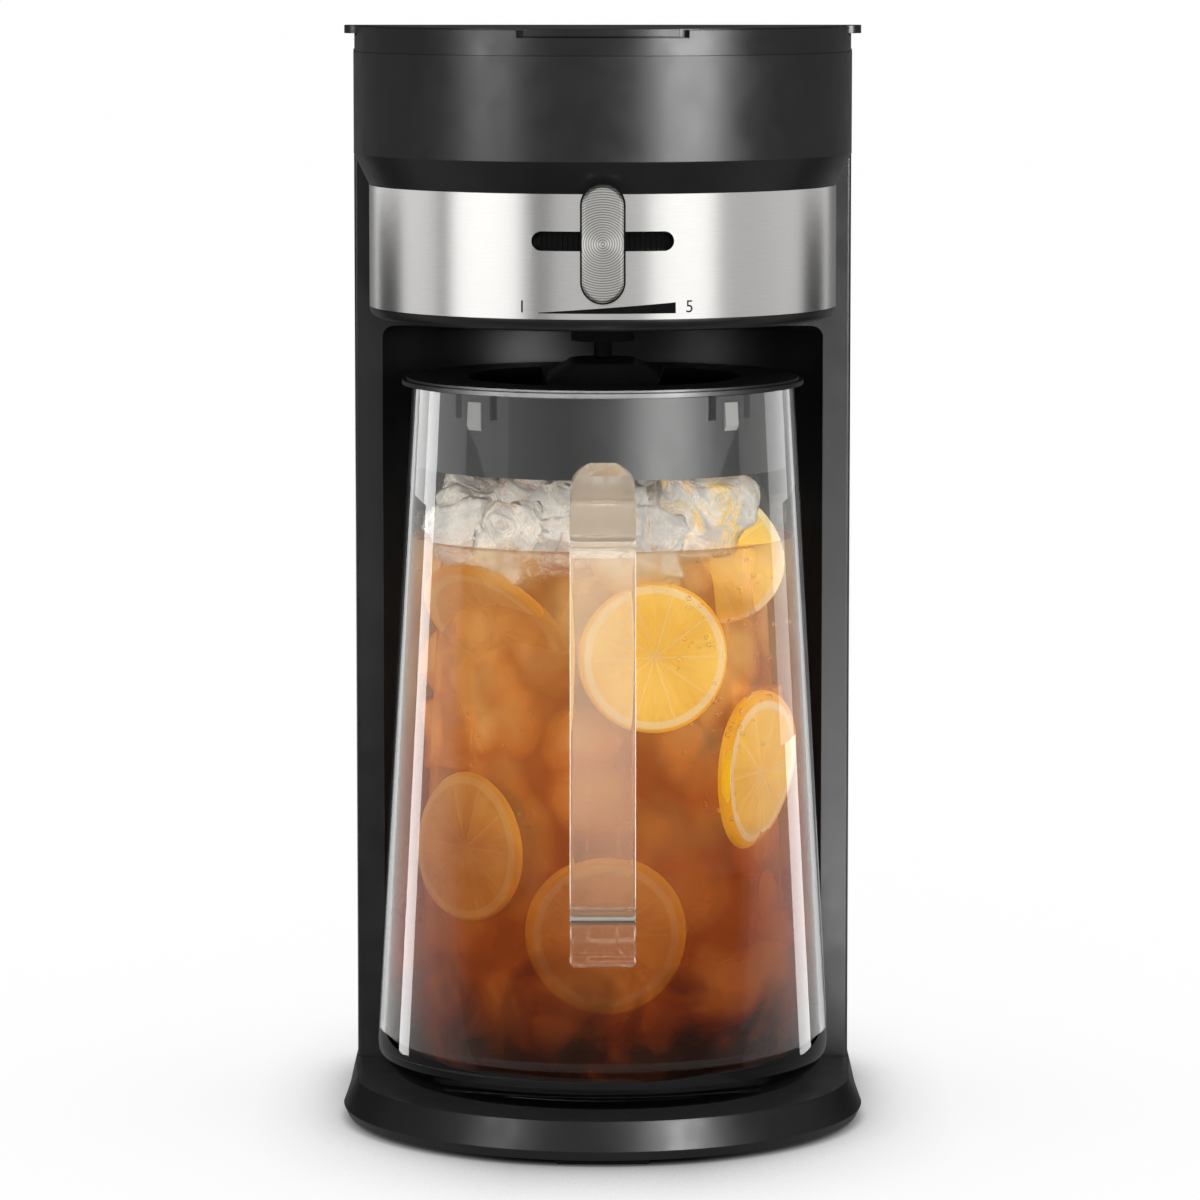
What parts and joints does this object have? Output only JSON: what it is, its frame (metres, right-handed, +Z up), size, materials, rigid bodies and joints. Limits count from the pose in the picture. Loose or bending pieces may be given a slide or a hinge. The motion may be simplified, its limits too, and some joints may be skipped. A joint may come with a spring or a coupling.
{
  "type": "iced tea maker",
  "caption": "Countertop iced tea maker: a column with a water tank and heater carries a round brewing head with a hinged lid over a clear lidded pitcher.",
  "frame": {"origin": "on the table, under the middle of the pitcher and the head", "axes": "+Z up, -Y towards the user, where the pitcher's handle points, +X to the right of a user who faces it"},
  "size_m": [0.175, 0.24, 0.367],
  "materials": {
    "charcoal_plastic": "satin moulded",
    "black_plastic": "fine matt texture",
    "brushed_band": "brushed round the head, clear of marks",
    "spun_knob": "spun face, polished bevel",
    "smoky_clear": "clear, polished",
    "frosted_clear": "clear with a frosted look",
    "filter_nylon": "woven nylon mesh",
    "tank_plastic": "natural translucent",
    "cast_metal": "as cast",
    "spring_steel": "drawn wire",
    "zinc_screw": "zinc plated",
    "silicone": "soft matt",
    "black_rubber": "soft matt",
    "switch_plastic": "gloss",
    "lamp_lens": "tinted lens"
  },
  "bodies": {
    "housing": {"base_shell": "charcoal_plastic", "column_shell": "charcoal_plastic", "rear_cover": "charcoal_plastic", "head_shell": "charcoal_plastic", "lower_head": "charcoal_plastic", "head_rim": "charcoal_plastic", "head_deck": "black_plastic", "base_plate": "black_plastic", "steel_band": "brushed_band", "brew_basket": "black_plastic", "filter_frame": "black_plastic", "filter_mesh": "filter_nylon", "drip_funnel": "black_plastic", "drip_spring": "spring_steel", "spring_bridge": "black_plastic", "spray_spout": "black_plastic", "water_tank": "tank_plastic", "riser_tube": "silicone", "riser_grommet": "silicone", "heater_body": "cast_metal", "heating_rod": "spring_steel", "heater_straps": "zinc_screw", "heater_screws": "zinc_screw", "inlet_hose": "silicone", "outlet_hose": "silicone", "hose_clamps": "spring_steel", "check_valve": "tank_plastic", "thermostat": "switch_plastic", "thermal_fuse": "cast_metal", "wire_loom": "black_rubber", "power_switch": "switch_plastic", "button_bezel": "charcoal_plastic", "cord_gland": "black_rubber", "rubber_feet": "black_rubber", "base_screws": "zinc_screw", "rear_cover_screws": "zinc_screw", "deck_screws": "zinc_screw", "lid_hinge_pins": "spring_steel"},
    "top_lid": {"top_lid": "charcoal_plastic"},
    "strength_slider": {"strength_shutter": "black_plastic", "knob_carrier": "black_plastic", "strength_knob": "spun_knob", "slot_curtain": "black_plastic"},
    "power_button": {"power_button": "switch_plastic", "indicator_lens": "lamp_lens"},
    "drip_stop": {"drip_plunger": "black_plastic", "drip_seal": "silicone"},
    "pitcher": {"pitcher_jar": "smoky_clear", "pitcher_handle": "frosted_clear"},
    "pitcher_lid": {"pitcher_lid": "black_plastic"}
  },
  "joints": [
    {"name": "lid_hinge", "type": "hinge", "parent": "housing", "child": "top_lid", "pos_m": [0, 0.108, 0.361], "axis": [-1, 0, 0], "range_deg": [0, 98]},
    {"name": "strength_slide", "type": "hinge", "parent": "housing", "child": "strength_slider", "pos_m": [0, 0, 0.2897], "axis": [0, 0, 1], "range_deg": [-13, 13]},
    {"name": "power_press", "type": "slide", "parent": "housing", "child": "power_button", "axis": [-1, 0, 0], "range_m": [0, 0.0018], "stiffness_N_per_m": 300, "springref_m": -0.003},
    {"name": "drip_valve", "type": "slide", "parent": "housing", "child": "drip_stop", "axis": [0, 0, 1], "range_m": [0, 0.003], "stiffness_N_per_m": 100, "springref_m": -0.005, "deforming": ["drip_spring"]},
    {"name": "pitcher_slide", "type": "slide", "parent": "housing", "child": "pitcher", "axis": [0, -1, 0], "range_m": [0, 0.2]},
    {"name": "pitcher_lid_turn", "type": "hinge", "parent": "pitcher", "child": "pitcher_lid", "pos_m": [0, 0, 0.249], "axis": [0, 0, 1], "range_deg": [0, 90]}
  ]
}
